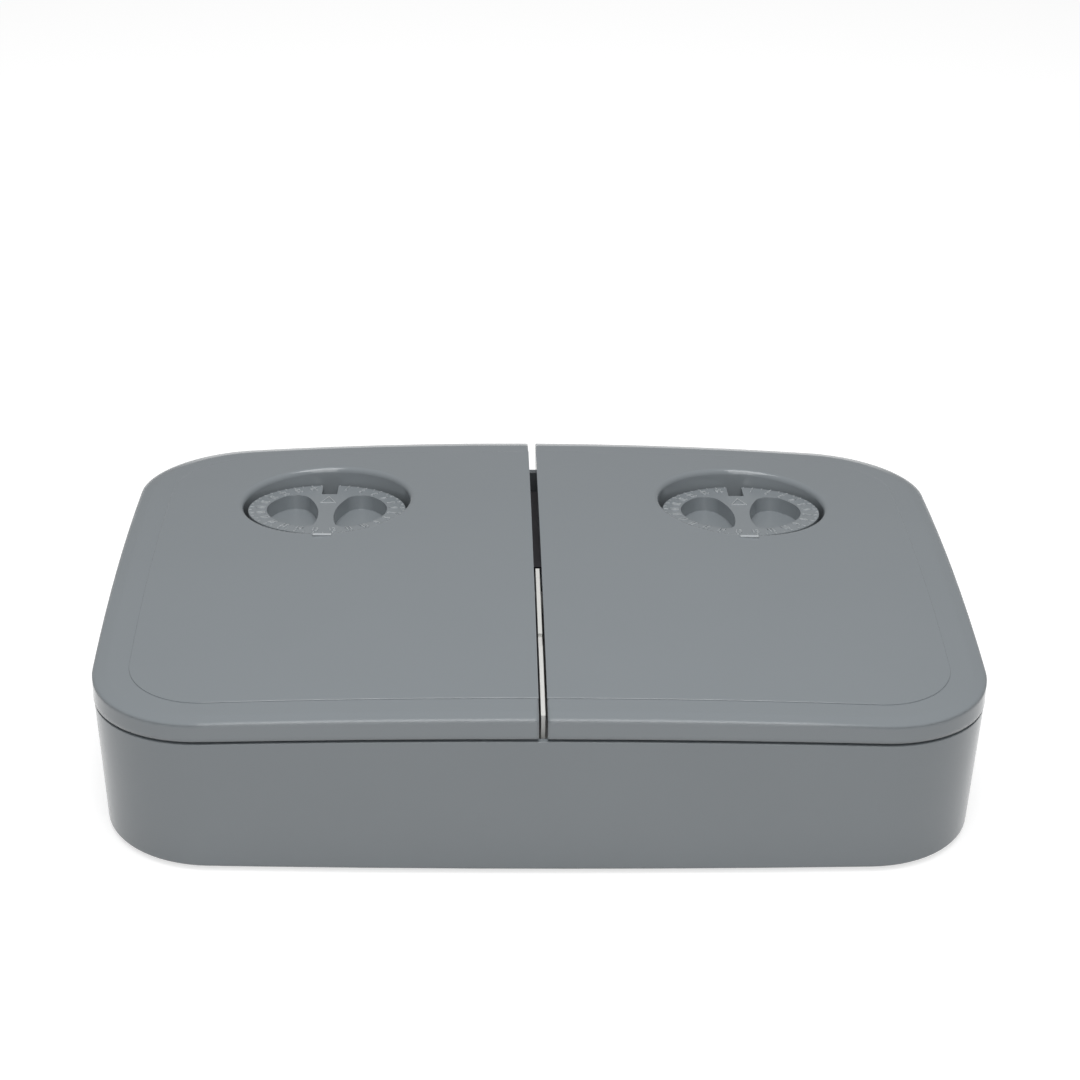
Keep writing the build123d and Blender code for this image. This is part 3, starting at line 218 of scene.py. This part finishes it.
# Base shell and battery door: injection-moulded ABS in a mid grey, from a polished tool.
# It gives the eye a smooth, soft gloss with a trace of flow in the colour.
shell_abs = surface_of(
    "moulded ABS, mid grey", ("#82888C", "#868C90"), 0.20, 0.8, 0.06, ior=1.53, edge_mm=0.6
)
dress("base_shell", shell_abs)
dress("battery_door", shell_abs)

# Feet: four pads of black rubber, pressed into round recesses under the base.
# Rubber is dull and a little dusty, with a fine open grain.
foot_rubber = surface_of("black rubber", ("#202022", "#2B2B2D"), 0.82, 0.5, 0.7, ior=1.52)
dress("rubber_feet", foot_rubber)

# Battery contacts: sprung strips of nickel-plated steel that clip into the bay's two ends.
# The plating is bright and slightly yellow, with fine rolling marks.
contact_nickel = surface_of("nickel-plated steel", ("#B9B4A8", "#C6C1B6"), 0.28, 0.3, 0.15, metallic=1.0)
dress("plain_contact", contact_nickel)
dress("spring_contact", contact_nickel)

# Battery cell: a steel can in a printed plastic sleeve, with bare bright ends.
# The sleeve is black with one plain copper-coloured band at the button's end.
cell_low, cell_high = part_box("battery_cell")
material, tree = new_material("sleeved steel can")
where = add_node(tree, "ShaderNodeTexCoord")
place = add_node(tree, "ShaderNodeSeparateXYZ", {"Vector": where.outputs["Object"]})
along = add_node(
    tree, "ShaderNodeMapRange",
    {"Value": place.outputs["X"], "From Min": cell_low[0], "From Max": cell_high[0]},
)
bands = add_node(tree, "ShaderNodeValToRGB", {"Fac": along.outputs["Result"]})
bands.color_ramp.interpolation = "CONSTANT"
bands.color_ramp.elements[0].color = colour("#C9C9C7")
bands.color_ramp.elements[1].position = 0.02
bands.color_ramp.elements[1].color = colour("#1C1C1F")
for position, code in ((0.68, "#A9683C"), (0.95, "#C9C9C7")):
    bands.color_ramp.elements.new(position).color = colour(code)
scuffs = add_node(tree, "ShaderNodeTexNoise", {"Vector": where.outputs["Object"], "Scale": 900.0})
gloss = add_node(
    tree, "ShaderNodeMapRange", {"Value": scuffs.outputs["Fac"], "To Min": 0.22, "To Max": 0.36}
)
shader = add_node(
    tree, "ShaderNodeBsdfPrincipled",
    {"Base Color": bands.outputs["Color"], "Roughness": gloss.outputs["Result"], "Metallic": 0.4},
)
add_node(tree, "ShaderNodeOutputMaterial", {"Surface": shader.outputs[0]})
dress("battery_cell", material)


# Circuit board: a strip of green-lacquered laminate with copper tracks 1 mm apart under the lacquer.
# The tracks show as slightly lighter lines along its length.
material, tree = new_material("lacquered board laminate")
where = add_node(tree, "ShaderNodeTexCoord")
tracks = add_node(
    tree, "ShaderNodeTexBrick",
    {
        "Vector": where.outputs["Object"], "Scale": 1.0, "Mortar Size": 0.0003, "Brick Width": 0.011,
        "Row Height": 0.0022, "Color1": colour("#1F5A38"), "Color2": colour("#1B5233"),
        "Mortar": colour("#3C7F55"),
    },
)
weave = add_node(tree, "ShaderNodeTexNoise", {"Vector": where.outputs["Object"], "Scale": 1500.0})
bump = add_node(
    tree, "ShaderNodeBump",
    {"Height": weave.outputs["Fac"], "Strength": 0.15, "Distance": grain_height},
)
shader = add_node(
    tree, "ShaderNodeBsdfPrincipled",
    {"Base Color": tracks.outputs["Color"], "Roughness": 0.28, "Normal": bump.outputs["Normal"]},
)
add_node(tree, "ShaderNodeOutputMaterial", {"Surface": shader.outputs[0]})
dress("circuit_board", material)

# Clock chip and crystal: a block of black moulding epoxy, and a drawn can of tinned steel.
# The epoxy is matt and finely pitted; the can is smooth and bright.
moulding_epoxy = surface_of("black moulding epoxy", ("#1B1B1C", "#242425"), 0.62, 0.25, 0.5, ior=1.55)
dress("clock_chip", moulding_epoxy)
tinned_steel = surface_of("tinned steel", ("#BDBEC0", "#CBCCCE"), 0.24, 0.4, 0.10, metallic=1.0)
dress("quartz_crystal", tinned_steel)
dress("coil_pins", tinned_steel)


# Timer cases, covers and bridges: glass-filled ABS in off-black, from a spark-eroded tool.
# It gives the eye a dry surface with a fine, even grain.
timer_abs = surface_of("glass-filled ABS, off-black", ("#3A3B3E", "#424346"), 0.58, 0.35, 0.6, ior=1.54)
# Wheels: acetal moulded without colour, milky white and slippery, with a waxy gloss.
wheel_acetal = surface_of("natural acetal", ("#E4E3DC", "#EBEAE4"), 0.30, 0.6, 0.08, ior=1.48)
# Rotors: sintered ferrite, a dull dark grey with a stony grain.
rotor_ferrite = surface_of("sintered ferrite", ("#37363A", "#444347"), 0.55, 0.3, 0.8, ior=2.2)
for side in ("left", "right"):
    for piece in ("timer_case_", "timer_cover_", "train_bridge_"):
        dress(piece + side, timer_abs)
    for piece in ("dial_wheel_", "third_wheel_", "second_wheel_"):
        dress(piece + side, wheel_acetal)
    dress("rotor_" + side, rotor_ferrite)


# A surface of fine parallel lines, such as stacked sheets or wound wire.
# A wave texture of scale 1 repeats every 2 pi / 20 units, and here at every second line.
def lined_surface(name, light, dark, line_mm, direction, gloss, tilt):
    material, tree = new_material(name)
    wave_scale = pi * 1000.0 / (20.0 * line_mm)
    where = add_node(tree, "ShaderNodeTexCoord")
    turned = add_node(
        tree, "ShaderNodeMapping", {"Vector": where.outputs["Object"], "Rotation": (tilt, 0.0, 0.0)}
    )
    lines = add_node(
        tree, "ShaderNodeTexWave",
        {"Vector": turned.outputs["Vector"], "Scale": wave_scale},
        wave_type="BANDS", bands_direction=direction,
    )
    tone = add_node(
        tree, "ShaderNodeMix", {"Factor": lines.outputs["Fac"], "A": colour(dark), "B": colour(light)},
        data_type="RGBA",
    )
    bump = add_node(
        tree, "ShaderNodeBump",
        {"Height": lines.outputs["Fac"], "Strength": 0.5, "Distance": grain_height},
    )
    shader = add_node(
        tree, "ShaderNodeBsdfPrincipled",
        {
            "Base Color": tone.outputs["Result"], "Roughness": gloss, "Metallic": 1.0,
            "Normal": bump.outputs["Normal"],
        },
    )
    add_node(tree, "ShaderNodeOutputMaterial", {"Surface": shader.outputs[0]})
    return material


# Motors: each stator is a stack of soft iron sheets, 0.35 mm thick, and its coil is enamelled wire.
# The sheets' edges show as fine grey lines and the wire as close orange ones, 0.4 mm wide.
# Both follow the lean of the dials and their timers.
dial_lean = radians(8.0)
sheet_iron = lined_surface("stacked soft iron sheet", "#9A9894", "#6E6C69", 0.35, "Z", 0.42, dial_lean)
coil_copper = lined_surface("enamelled copper wire", "#C9713A", "#7C3C1A", 0.40, "X", 0.30, dial_lean)
for side in ("left", "right"):
    dress("stator_" + side, sheet_iron)
    dress("coil_" + side, coil_copper)


# Selects what a rule picks among the vertices of the mesh in edit mode.
def pick_vertices(piece, rule):
    bpy.ops.object.mode_set(mode="OBJECT")
    for vertex in piece.data.vertices:
        vertex.select = bool(rule(vertex.co))
    for edge in piece.data.edges:
        edge.select = all(piece.data.vertices[i].select for i in edge.vertices)
    for face in piece.data.polygons:
        face.select = all(piece.data.vertices[i].select for i in face.vertices)
    bpy.ops.object.mode_set(mode="EDIT")


# Adds a modifier and applies it.
def shape_with(piece, kind, **settings):
    modifier = piece.modifiers.new(kind.lower(), kind)
    for name, value in settings.items():
        setattr(modifier, name, value)
    bpy.context.view_layer.objects.active = piece
    bpy.ops.object.modifier_apply(modifier=modifier.name)


# A copy of a piece with its own mesh, moved by a matrix.
def copy_to(piece, name, place):
    twin = piece.copy()
    twin.data = piece.data.copy()
    twin.name = name
    twin.data.transform(place)
    bpy.context.scene.collection.objects.link(twin)
    return twin


# Joins pieces into the first one and names it.
def join_all(pieces, name):
    bpy.ops.object.select_all(action="DESELECT")
    for piece in pieces:
        piece.select_set(True)
    bpy.context.view_layer.objects.active = pieces[0]
    bpy.ops.object.join()
    joined = bpy.context.view_layer.objects.active
    joined.name = name
    return joined


# Screws: self-tapping, of zinc-plated steel, with pan heads, a cross recess and a rolled thread.
# The head is a cylinder with a rounded edge and the thread is drawn as ridges 1 mm apart.
zinc_steel = surface_of("zinc-plated steel", ("#A9ACB0", "#B8BBBE"), 0.30, 0.3, 0.2, metallic=1.0)
head_radius = 0.0027
head_height = 0.0015
head_rounding = 0.0004
recess_bar = (0.0030, 0.0006, 0.0018)
shank_radius = 0.0014
thread_pitch = 0.001
thread_root = 0.78


# One screw with its head standing on the origin and its shank hanging down from there.
def cross_screw(length):
    bpy.ops.object.select_all(action="DESELECT")
    bpy.ops.mesh.primitive_cylinder_add(
        vertices=32, radius=head_radius, depth=head_height, location=(0, 0, head_height / 2)
    )
    head = bpy.context.object
    bpy.ops.object.transform_apply(location=True, rotation=True, scale=True)
    shape_with(head, "BEVEL", width=head_rounding, segments=3, limit_method="ANGLE")
    for turn in (0.0, pi / 2):
        bpy.ops.object.select_all(action="DESELECT")
        bpy.ops.mesh.primitive_cube_add(size=1.0, location=(0, 0, head_height), rotation=(0, 0, turn))
        bar = bpy.context.object
        bar.scale = recess_bar
        bpy.ops.object.transform_apply(location=True, rotation=True, scale=True)
        shape_with(head, "BOOLEAN", operation="DIFFERENCE", object=bar)
        bpy.data.objects.remove(bar)
    turns = max(2, round(length / thread_pitch))
    bpy.ops.object.select_all(action="DESELECT")
    bpy.ops.mesh.primitive_cylinder_add(
        vertices=16, radius=shank_radius, depth=length, location=(0, 0, -length / 2)
    )
    shank = bpy.context.object
    bpy.ops.object.transform_apply(location=True, rotation=True, scale=True)
    bpy.ops.object.mode_set(mode="EDIT")
    bpy.ops.mesh.select_all(action="DESELECT")
    bpy.ops.object.mode_set(mode="OBJECT")
    for edge in shank.data.edges:
        low, top = (shank.data.vertices[i].co for i in edge.vertices)
        edge.select = abs(low.z - top.z) > length / 2
    bpy.ops.object.mode_set(mode="EDIT")
    bpy.ops.mesh.subdivide(number_cuts=2 * turns - 1)
    step = length / (2 * turns)
    pick_vertices(shank, lambda place: round(-place.z / step) % 2 == 0)
    bpy.ops.transform.resize(value=(thread_root, thread_root, 1.0), center_override=(0, 0, 0))
    bpy.ops.object.mode_set(mode="OBJECT")
    return join_all([head, shank], "screw")


# Deck screws: three a side, with their heads in flat seats sunk into the leaning deck.
# The deck lies 7 mm under the dials' faces. Each seat is level, 0.3 mm under the deck's top at
# the side where the deck is lower.
dial_x, dial_y, dial_z = 0.083, 0.057, 0.0575
deck_drop = 0.0070
deck_slope = sin(dial_lean) / cos(dial_lean)
seat_radius = 0.0030
seat_sink = 0.0003
screw_length = 0.009
driven_turn = 0.7
side_places = ((0.140, 0.020), (0.136, 0.092), (0.020, 0.092))
deck_places = [(sign * x, y) for sign in (-1, 1) for x, y in side_places]
pattern = cross_screw(screw_length)
twins = []
for number, (x, y) in enumerate(deck_places):
    deck_top = (dial_z - deck_drop / cos(dial_lean)) - (y - dial_y) * deck_slope
    seat = deck_top - seat_radius * deck_slope - seat_sink
    turn = Matrix.Rotation(driven_turn * number, 4, "Z")
    twins.append(copy_to(pattern, "twin", Matrix.Translation((x, y, seat)) @ turn))
bpy.data.objects.remove(pattern)
deck_screws = join_all(twins, "cross_head_deck_screws")
deck_screws.data.materials.append(zinc_steel)
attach(deck_screws, "base")
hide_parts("deck_screws")
for node in ("timer_screws", "board_screws"):
    dress(node, zinc_steel)

# Timer deck: the dark plate between the lids and the timers, moulded in textured ABS.
# It is charcoal, and its fine spark texture keeps it nearly without a reflection.
deck_abs = surface_of("fine-textured ABS, charcoal", ("#2A282E", "#2F2D33"), 0.50, 0.5, 0.5, ior=1.53)
dress("timer_deck", deck_abs)

# Food tray: food-safe polypropylene, moulded in one with both bowls and the rib between the lids.
# It is off-white and slightly waxy.
tray_polymer = surface_of(
    "moulded polypropylene, off-white", ("#D9D9D5", "#DEDEDB"), 0.34, 0.8, 0.08, ior=1.49
)
dress("food_tray", tray_polymer)

# Hinge pins: plain drawn steel wire, cut to length and pushed through the brackets.
pin_steel = surface_of("drawn steel", ("#A2A3A6", "#B4B5B8"), 0.26, 0.3, 0.15, metallic=1.0)
dress("hinge_pins", pin_steel)


# A round wire along given points.
def wire(name, points, radius):
    curve = bpy.data.curves.new(name, "CURVE")
    curve.dimensions = "3D"
    spline = curve.splines.new("POLY")
    spline.points.add(len(points) - 1)
    for point, place in zip(spline.points, points):
        point.co = (*place, 1.0)
    curve.bevel_depth = radius
    curve.bevel_resolution = 3
    curve.use_fill_caps = True
    piece = bpy.data.objects.new(name, curve)
    bpy.context.scene.collection.objects.link(piece)
    bpy.ops.object.select_all(action="DESELECT")
    piece.select_set(True)
    bpy.context.view_layer.objects.active = piece
    bpy.ops.object.convert(target="MESH")
    bpy.ops.object.shade_smooth()
    return piece


# Lid springs: music wire wound six turns round the inner hinge pins, with one leg against the base
# and one under the lid. The coil stays with the base and the lid carries its own leg, which starts
# where the coil ends, at the leg's angle.
spring_wire = surface_of("oiled music wire", ("#77777B", "#8A8A8E"), 0.24, 0.2, 0.2, metallic=1.0)
wire_radius = 0.00035
coil_radius = 0.0021
hinge_place = Vector((0.0, 0.1176, 0.0498))
coil_turns = 6
turn_points = 24
rest_drop = 0.009
leg_reach = 0.0088
leg_rise = 0.0046
leg_angle = 230.5
for side, sign in (("left", -1), ("right", 1)):
    low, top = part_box("lid_spring_" + side)
    outer, inner = (low[0], top[0]) if sign < 0 else (top[0], low[0])
    start = outer - sign * wire_radius
    end = inner + sign * wire_radius
    sweep = 360 * coil_turns - (leg_angle - 180)
    coil_points = [(start, hinge_place.y - coil_radius, hinge_place.z - rest_drop)]
    for step in range(coil_turns * turn_points + 1):
        share = step / (coil_turns * turn_points)
        angle = radians(180 - sweep * share)
        coil_points.append((
            start + (end - start) * share,
            hinge_place.y + coil_radius * cos(angle),
            hinge_place.z + coil_radius * sin(angle),
        ))
    coil = wire("spring_coil_" + side, coil_points, wire_radius)
    coil.data.materials.append(spring_wire)
    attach(coil, "base")
    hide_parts("lid_spring_" + side)
    leg_end = (end, hinge_place.y - leg_reach, hinge_place.z + leg_rise)
    leg = wire("spring_leg_" + side, [coil_points[-1], leg_end], wire_radius)
    leg.data.materials.append(spring_wire)
    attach(leg, "lid_" + side)
    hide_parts("lid_spring_" + side)


# How far a point lies past the two arcs of a bowed pair, each arc drawn in by the corners' radius.
def past_arcs(tree, point, circle, centre):
    reaches = [
        add_node(
            tree, "ShaderNodeVectorMath", {0: point.outputs[0], 1: middle}, operation="DISTANCE"
        ).outputs["Value"]
        for middle in (centre, -centre)
    ]
    reach = add_node(tree, "ShaderNodeMath", {0: reaches[0], 1: reaches[1]}, operation="MAXIMUM")
    near = add_node(
        tree, "ShaderNodeMath", {0: reach.outputs[0], 1: circle - corner_radius}, operation="SUBTRACT"
    )
    return add_node(tree, "ShaderNodeMath", {0: near.outputs[0], 1: 0.0}, operation="MAXIMUM")


# Lids: the same ABS as the base, from a tool with a brighter polish, so their edges shine in a band.
# The outer edge is rounded by 2.4 mm, on the surface only. The crease inside the border stays sharp,
# so the rounding fades out between 7 and 9 mm from the outline: four shallow arcs with round corners.
lid_abs = surface_of(
    "polished ABS, mid grey", ("#83898D", "#868C90"), 0.13, 1.0, 0.02,
    ior=1.55, cloud_mm=70.0, edge_mm=2.4,
)
tree = lid_abs.node_tree
half_width, half_depth = 0.160, 0.121
side_bow, end_bow = 0.002, 0.003
corner_radius = 0.043
fade_start, fade_end = 0.009, 0.007
end_circle = ((half_width - side_bow) ** 2 + end_bow ** 2) / (2 * end_bow)
side_circle = ((half_depth - end_bow) ** 2 + side_bow ** 2) / (2 * side_bow)
where = add_node(tree, "ShaderNodeTexCoord")
place = add_node(tree, "ShaderNodeSeparateXYZ", {0: where.outputs["Object"]})
flat = add_node(tree, "ShaderNodeCombineXYZ", {"X": place.outputs["X"], "Y": place.outputs["Y"]})
past_sides = past_arcs(tree, flat, side_circle, Vector((side_circle - half_width, 0, 0)))
past_ends = past_arcs(tree, flat, end_circle, Vector((0, end_circle - half_depth, 0)))
both = add_node(tree, "ShaderNodeCombineXYZ", {"X": past_sides.outputs[0], "Y": past_ends.outputs[0]})
outward = add_node(tree, "ShaderNodeVectorMath", {0: both.outputs[0]}, operation="LENGTH")
border = add_node(
    tree, "ShaderNodeMapRange",
    {
        "Value": outward.outputs["Value"], "From Min": corner_radius - fade_start,
        "From Max": corner_radius - fade_end,
    },
)
facing = add_node(tree, "ShaderNodeNewGeometry")
bump = next(node for node in tree.nodes if node.bl_idname == "ShaderNodeBump")
rounded = next(node for node in tree.nodes if node.bl_idname == "ShaderNodeBevel")
# Inputs 4 and 5 and output 1 are the mix node's vectors
blended = add_node(
    tree, "ShaderNodeMix",
    {"Factor": border.outputs["Result"], 4: facing.outputs["Normal"], 5: rounded.outputs["Normal"]},
    data_type="VECTOR",
)
tree.links.new(blended.outputs[1], bump.inputs["Normal"])
dress("lid_left", lid_abs)
dress("lid_right", lid_abs)

# Index bars: a small raised bar on each lid, in front of its dial, that the numbers are read against.
# Its whole colour is painted lighter than the lid: a painted highlight for the light that its raised
# edges catch.
index_abs_painted_highlight = surface_of("polished ABS, painted highlight", ("#AEB3B6", "#B6BBBE"), 0.24, 0.6, 0.05, ior=1.53)
index_y = 0.0208
index_size = (0.0073, 0.0013, 0.0007)
index_rounding = 0.00025
index_sink = 0.0001
above_lids = 0.1
for side, sign in (("left", -1), ("right", 1)):
    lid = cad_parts["lid_" + side]
    hit = lid.ray_cast(Vector((sign * dial_x, index_y, above_lids)), Vector((0, 0, -1)))
    spot, facing = hit[1:3]
    bpy.ops.object.select_all(action="DESELECT")
    bpy.ops.mesh.primitive_cube_add(size=1.0)
    bar = bpy.context.object
    bar.name = "index_bar_" + side
    bar.scale = index_size
    bpy.ops.object.transform_apply(location=True, rotation=True, scale=True)
    shape_with(bar, "BEVEL", width=index_rounding, segments=3, limit_method="ANGLE")
    seat = spot - facing * index_sink
    bar.data.transform(Matrix.Translation(seat) @ Matrix.Rotation(-facing.y, 4, "X"))
    bar.data.materials.append(index_abs_painted_highlight)
    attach(bar, "lid_" + side)

# Dials: moulded in the same ABS, each with its wheel of hours.
dial_abs = surface_of("moulded ABS, dial grey", ("#848A8E", "#888E92"), 0.24, 0.8, 0.08, ior=1.53)
dress("dial_left", dial_abs)
dress("dial_right", dial_abs)

# Hour marks: raised 0.35 mm in the tool, with an hour every 14.4 degrees clockwise from the notch.
# Each number stands with its head towards the dial's middle; the lines between are the half hours.
mark_height = 0.00035
mark_rounding = 0.0001
hour_count = 24
hour_angle = 360 / (hour_count + 1)
rim_reach = 0.0311
number_reach = 0.0268
number_size = 0.0050
number_width = 0.62
number_rounding = 0.00008
arrow_tip, arrow_foot, arrow_half = 0.0154, 0.0078, 0.0029
stroke_width = 0.0005
stroke_overlap = 0.0004
long_tick_size = (0.0019, 0.0005)
short_tick_size = (0.0011, 0.0004)
marks = []


# One raised bar, half sunk in the dial's face, that runs down from the dial's middle.
def raised_bar(length, width):
    bpy.ops.object.select_all(action="DESELECT")
    bpy.ops.mesh.primitive_cube_add(size=1.0, location=(0, -length / 2, 0))
    bar = bpy.context.object
    bar.scale = (width, length, 2 * mark_height)
    bpy.ops.object.transform_apply(location=True, rotation=True, scale=True)
    shape_with(bar, "BEVEL", width=mark_rounding, segments=2, limit_method="ANGLE")
    return bar


long_tick = raised_bar(*long_tick_size)
short_tick = raised_bar(*short_tick_size)
for hour in range(1, hour_count + 2):
    turn = Matrix.Rotation(-radians(hour_angle * hour), 4, "Z")
    if hour <= hour_count:
        marks.append(copy_to(long_tick, "mark", turn @ Matrix.Translation((0, rim_reach, 0))))
    turn = Matrix.Rotation(-radians(hour_angle * (hour - 0.5)), 4, "Z")
    marks.append(copy_to(short_tick, "mark", turn @ Matrix.Translation((0, rim_reach, 0))))
for hour in range(1, hour_count + 1):
    bpy.ops.object.select_all(action="DESELECT")
    bpy.ops.object.text_add()
    number = bpy.context.object
    number.data.body = str(hour)
    number.data.size = number_size
    number.data.align_x = "CENTER"
    number.data.align_y = "CENTER"
    number.data.extrude = mark_height - number_rounding
    number.data.bevel_depth = number_rounding
    number.data.resolution_u = 4
    bpy.ops.object.convert(target="MESH")
    number.data.transform(
        Matrix.Rotation(-radians(hour_angle * hour), 4, "Z") @ Matrix.Translation((0, number_reach, 0))
        @ Matrix.Rotation(pi, 4, "Z") @ Matrix.Diagonal((number_width, 1.0, 1.0, 1.0))
    )
    marks.append(number)
# The outlined arrow in front of the notch
tip = Vector((0.0, arrow_tip, 0))
corners = [tip, Vector((arrow_half, arrow_foot, 0)), Vector((-arrow_half, arrow_foot, 0))]
for first, second in zip(corners, corners[1:] + corners[:1]):
    stroke = raised_bar((second - first).length + stroke_overlap, stroke_width)
    turn = (second - first).to_2d().angle_signed(Vector((0, -1)))
    stroke.data.transform(Matrix.Translation(first) @ Matrix.Rotation(turn, 4, "Z"))
    marks.append(stroke)
bpy.data.objects.remove(long_tick)
bpy.data.objects.remove(short_tick)
hour_marks = join_all(marks, "hour_marks")
# The marks are painted lighter than the dial's own grey: a painted highlight for the light on their
# raised edges.
mark_abs_painted_highlight = surface_of("moulded ABS, raised marks, painted highlight", ("#A2A7AA", "#AAAFB2"), 0.26, 0.4, 0.05, ior=1.53)
hour_marks.data.materials.clear()
hour_marks.data.materials.append(mark_abs_painted_highlight)
for side, sign in (("left", -1), ("right", 1)):
    centre = Matrix.Translation((sign * dial_x, dial_y, dial_z))
    face = centre @ Matrix.Rotation(-dial_lean, 4, "X")
    twin = copy_to(hour_marks, "hour_marks_" + side, face)
    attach(twin, "dial_" + side)
bpy.data.objects.remove(hour_marks)
